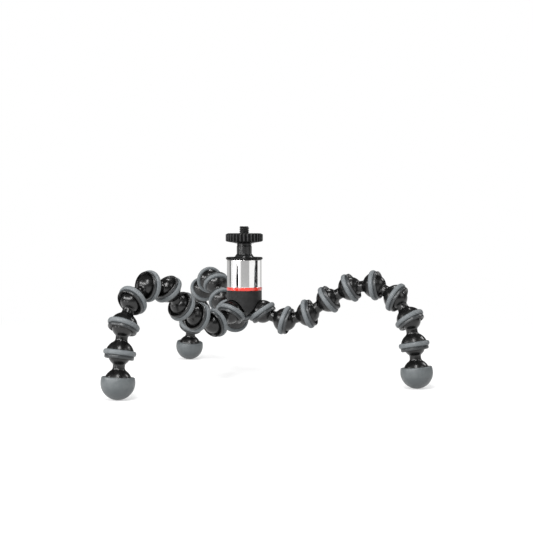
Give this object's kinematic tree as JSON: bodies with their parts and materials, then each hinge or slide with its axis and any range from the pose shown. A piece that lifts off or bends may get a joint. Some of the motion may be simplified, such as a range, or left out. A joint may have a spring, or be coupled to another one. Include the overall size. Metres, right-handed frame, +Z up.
{
  "type": "flexible leg tripod",
  "caption": "Small table tripod whose three legs are chains of ball and cup links that bend to any pose, with a ball head, a camera screw and rubber feet.",
  "frame": {"origin": "on the camera screw's axis, on the seat that the camera stands on", "axes": "+Z up along the camera screw, the view of the picture looks along +Y with +X to its right"},
  "size_m": [0.1956, 0.2137, 0.0986],
  "materials": {
    "wheel_plastic": "moulded, satin black, ribbed rim",
    "stem_metal": "turned, black anodised",
    "seat_plastic": "moulded, hidden inside",
    "collar_plastic": "satin black",
    "sleeve_metal": "polished",
    "accent_plastic": "gloss red",
    "housing_plastic": "fine matte charcoal",
    "link_plastic": "satin gloss black",
    "grip_rubber": "matte slate grey",
    "foot_rubber": "matte slate grey over a black core"
  },
  "bodies": {
    "hub": {"hub_housing": "housing_plastic", "leg_spider": "link_plastic", "hub_grip_rings": "grip_rubber", "accent_ring": "accent_plastic"},
    "sleeve": {"clamp_sleeve": "sleeve_metal", "top_collar": "collar_plastic"},
    "seat": {"ball_seat": "seat_plastic"},
    "stem": {"ball_stem": "stem_metal"},
    "wheel": {"lock_wheel": "wheel_plastic"},
    "left_segment_1": {"left_link_1": "link_plastic", "left_ring_1": "grip_rubber"},
    "left_segment_2": {"left_link_2": "link_plastic", "left_ring_2": "grip_rubber"},
    "left_segment_3": {"left_link_3": "link_plastic", "left_ring_3": "grip_rubber"},
    "left_segment_4": {"left_link_4": "link_plastic", "left_ring_4": "grip_rubber"},
    "left_segment_5": {"left_link_5": "link_plastic", "left_ring_5": "grip_rubber"},
    "left_segment_6": {"left_link_6": "link_plastic", "left_ring_6": "grip_rubber"},
    "left_segment_7": {"left_link_7": "link_plastic", "left_ring_7": "grip_rubber"},
    "left_segment_8": {"left_link_8": "link_plastic", "left_ring_8": "grip_rubber"},
    "left_foot": {"left_foot": "foot_rubber"},
    "right_segment_1": {"right_link_1": "link_plastic", "right_ring_1": "grip_rubber"},
    "right_segment_2": {"right_link_2": "link_plastic", "right_ring_2": "grip_rubber"},
    "right_segment_3": {"right_link_3": "link_plastic", "right_ring_3": "grip_rubber"},
    "right_segment_4": {"right_link_4": "link_plastic", "right_ring_4": "grip_rubber"},
    "right_segment_5": {"right_link_5": "link_plastic", "right_ring_5": "grip_rubber"},
    "right_segment_6": {"right_link_6": "link_plastic", "right_ring_6": "grip_rubber"},
    "right_segment_7": {"right_link_7": "link_plastic", "right_ring_7": "grip_rubber"},
    "right_segment_8": {"right_link_8": "link_plastic", "right_ring_8": "grip_rubber"},
    "right_foot": {"right_foot": "foot_rubber"},
    "rear_segment_1": {"rear_link_1": "link_plastic", "rear_ring_1": "grip_rubber"},
    "rear_segment_2": {"rear_link_2": "link_plastic", "rear_ring_2": "grip_rubber"},
    "rear_segment_3": {"rear_link_3": "link_plastic", "rear_ring_3": "grip_rubber"},
    "rear_segment_4": {"rear_link_4": "link_plastic", "rear_ring_4": "grip_rubber"},
    "rear_segment_5": {"rear_link_5": "link_plastic", "rear_ring_5": "grip_rubber"},
    "rear_segment_6": {"rear_link_6": "link_plastic", "rear_ring_6": "grip_rubber"},
    "rear_segment_7": {"rear_link_7": "link_plastic", "rear_ring_7": "grip_rubber"},
    "rear_segment_8": {"rear_link_8": "link_plastic", "rear_ring_8": "grip_rubber"},
    "rear_foot": {"rear_foot": "foot_rubber"}
  },
  "joints": [
    {"name": "sleeve_twist", "type": "hinge", "parent": "hub", "child": "sleeve", "pos_m": [0, 0, -0.01835], "axis": [0, 0, 1], "range_deg": [0, 90]},
    {"name": "head_pan", "type": "hinge", "parent": "hub", "child": "seat", "pos_m": [0, 0, -0.01835], "axis": [0, 0, 1], "continuous": true},
    {"name": "head_tilt", "type": "hinge", "parent": "seat", "child": "stem", "pos_m": [0, 0, -0.01835], "axis": [0, 1, 0], "range_deg": [-20, 20]},
    {"name": "wheel_spin", "type": "hinge", "parent": "stem", "child": "wheel", "pos_m": [0, 0, 0], "axis": [0, 0, 1], "continuous": true},
    {"name": "left_bend_1", "type": "hinge", "parent": "hub", "child": "left_segment_1", "pos_m": [-0.0087, -0.0087, -0.05085], "axis": [-0.766, 0.6428, 0], "range_deg": [-66, 6]},
    {"name": "left_bend_2", "type": "hinge", "parent": "left_segment_1", "child": "left_segment_2", "pos_m": [-0.01842, -0.02029, -0.05606], "axis": [0.7547, -0.6561, 0], "range_deg": [-5, 79]},
    {"name": "left_bend_3", "type": "hinge", "parent": "left_segment_2", "child": "left_segment_3", "pos_m": [-0.0284, -0.03177, -0.05111], "axis": [-0.7771, 0.6293, 0], "range_deg": [-52, 32]},
    {"name": "left_swing_4", "type": "hinge", "parent": "left_segment_3", "child": "left_segment_4", "pos_m": [-0.0373, -0.04275, -0.0436], "axis": [0.2954, 0.3648, 0.8829], "range_deg": [-39, 39]},
    {"name": "left_bend_5", "type": "hinge", "parent": "left_segment_4", "child": "left_segment_5", "pos_m": [-0.04512, -0.05145, -0.03269], "axis": [-0.766, 0.6428, 0], "range_deg": [-7, 77]},
    {"name": "left_bend_6", "type": "hinge", "parent": "left_segment_5", "child": "left_segment_6", "pos_m": [-0.05531, -0.06358, -0.03046], "axis": [0.8192, -0.5736, 0], "range_deg": [-79, 4]},
    {"name": "left_bend_7", "type": "hinge", "parent": "left_segment_6", "child": "left_segment_7", "pos_m": [-0.06326, -0.07494, -0.03846], "axis": [-0.829, 0.5592, 0], "range_deg": [-9, 74]},
    {"name": "left_bend_8", "type": "hinge", "parent": "left_segment_7", "child": "left_segment_8", "pos_m": [-0.06746, -0.08116, -0.05258], "axis": [0.7986, -0.6018, 0], "range_deg": [-59, 25]},
    {"name": "left_foot_bend", "type": "hinge", "parent": "left_segment_8", "child": "left_foot", "pos_m": [-0.0693, -0.0836, -0.06829], "axis": [-0.7771, 0.6293, 0], "range_deg": [-36, 48]},
    {"name": "right_bend_1", "type": "hinge", "parent": "hub", "child": "right_segment_1", "pos_m": [0.01188, -0.00318, -0.05085], "axis": [-0.2588, -0.9659, 0], "range_deg": [-68, 4]},
    {"name": "right_bend_2", "type": "hinge", "parent": "right_segment_1", "child": "right_segment_2", "pos_m": [0.02666, -0.00714, -0.05552], "axis": [0.2756, 0.9613, 0], "range_deg": [-7, 77]},
    {"name": "right_bend_3", "type": "hinge", "parent": "right_segment_2", "child": "right_segment_3", "pos_m": [0.04129, -0.01134, -0.05058], "axis": [-0.2756, -0.9613, 0], "range_deg": [-60, 24]},
    {"name": "right_swing_4", "type": "hinge", "parent": "right_segment_3", "child": "right_segment_4", "pos_m": [0.05373, -0.01491, -0.04118], "axis": [-0.565, 0.162, 0.809], "range_deg": [-41, 41]},
    {"name": "right_bend_5", "type": "hinge", "parent": "right_segment_4", "child": "right_segment_5", "pos_m": [0.06717, -0.01927, -0.03367], "axis": [-0.3746, -0.9272, 0], "range_deg": [-20, 64]},
    {"name": "right_bend_6", "type": "hinge", "parent": "right_segment_5", "child": "right_segment_6", "pos_m": [0.08192, -0.02523, -0.03199], "axis": [0.4848, 0.8746, 0], "range_deg": [-76, 8]},
    {"name": "right_bend_7", "type": "hinge", "parent": "right_segment_6", "child": "right_segment_7", "pos_m": [0.09428, -0.03208, -0.0395], "axis": [-0.5736, -0.8192, 0], "range_deg": [-15, 69]},
    {"name": "right_bend_8", "type": "hinge", "parent": "right_segment_7", "child": "right_segment_8", "pos_m": [0.10179, -0.03735, -0.05261], "axis": [0.6018, 0.7986, 0], "range_deg": [-66, 18]},
    {"name": "right_foot_bend", "type": "hinge", "parent": "right_segment_8", "child": "right_foot", "pos_m": [0.10423, -0.03918, -0.06832], "axis": [-0.6018, -0.7986, 0], "range_deg": [-37, 47]},
    {"name": "rear_bend_1", "type": "hinge", "parent": "hub", "child": "rear_segment_1", "pos_m": [-0.00318, 0.01188, -0.05085], "axis": [0.9613, 0.2756, 0], "range_deg": [-61, 11]},
    {"name": "rear_bend_2", "type": "hinge", "parent": "rear_segment_1", "child": "rear_segment_2", "pos_m": [-0.00721, 0.02593, -0.05736], "axis": [-0.9511, -0.309, 0], "range_deg": [-5, 79]},
    {"name": "rear_bend_3", "type": "hinge", "parent": "rear_segment_2", "child": "rear_segment_3", "pos_m": [-0.01203, 0.04076, -0.05376], "axis": [0.9397, 0.342, 0], "range_deg": [-59, 25]},
    {"name": "rear_swing_4", "type": "hinge", "parent": "rear_segment_3", "child": "rear_segment_4", "pos_m": [-0.01677, 0.05378, -0.04576], "axis": [0.171, -0.4698, 0.866], "range_deg": [-40, 40]},
    {"name": "rear_bend_5", "type": "hinge", "parent": "rear_segment_4", "child": "rear_segment_5", "pos_m": [-0.02084, 0.06495, -0.03505], "axis": [0.9336, 0.3584, 0], "range_deg": [-5, 79]},
    {"name": "rear_bend_6", "type": "hinge", "parent": "rear_segment_5", "child": "rear_segment_6", "pos_m": [-0.02655, 0.07983, -0.03366], "axis": [-0.9135, -0.4067, 0], "range_deg": [-77, 6]},
    {"name": "rear_bend_7", "type": "hinge", "parent": "rear_segment_6", "child": "rear_segment_7", "pos_m": [-0.03217, 0.09247, -0.0417], "axis": [0.866, 0.5, 0], "range_deg": [-15, 68]},
    {"name": "rear_bend_8", "type": "hinge", "parent": "rear_segment_7", "child": "rear_segment_8", "pos_m": [-0.03653, 0.10001, -0.05512], "axis": [-0.829, -0.5592, 0], "range_deg": [-41, 43]},
    {"name": "rear_foot_bend", "type": "hinge", "parent": "rear_segment_8", "child": "rear_foot", "pos_m": [-0.04153, 0.10743, -0.06839], "axis": [0.809, 0.5878, 0], "range_deg": [-16, 68]}
  ]
}
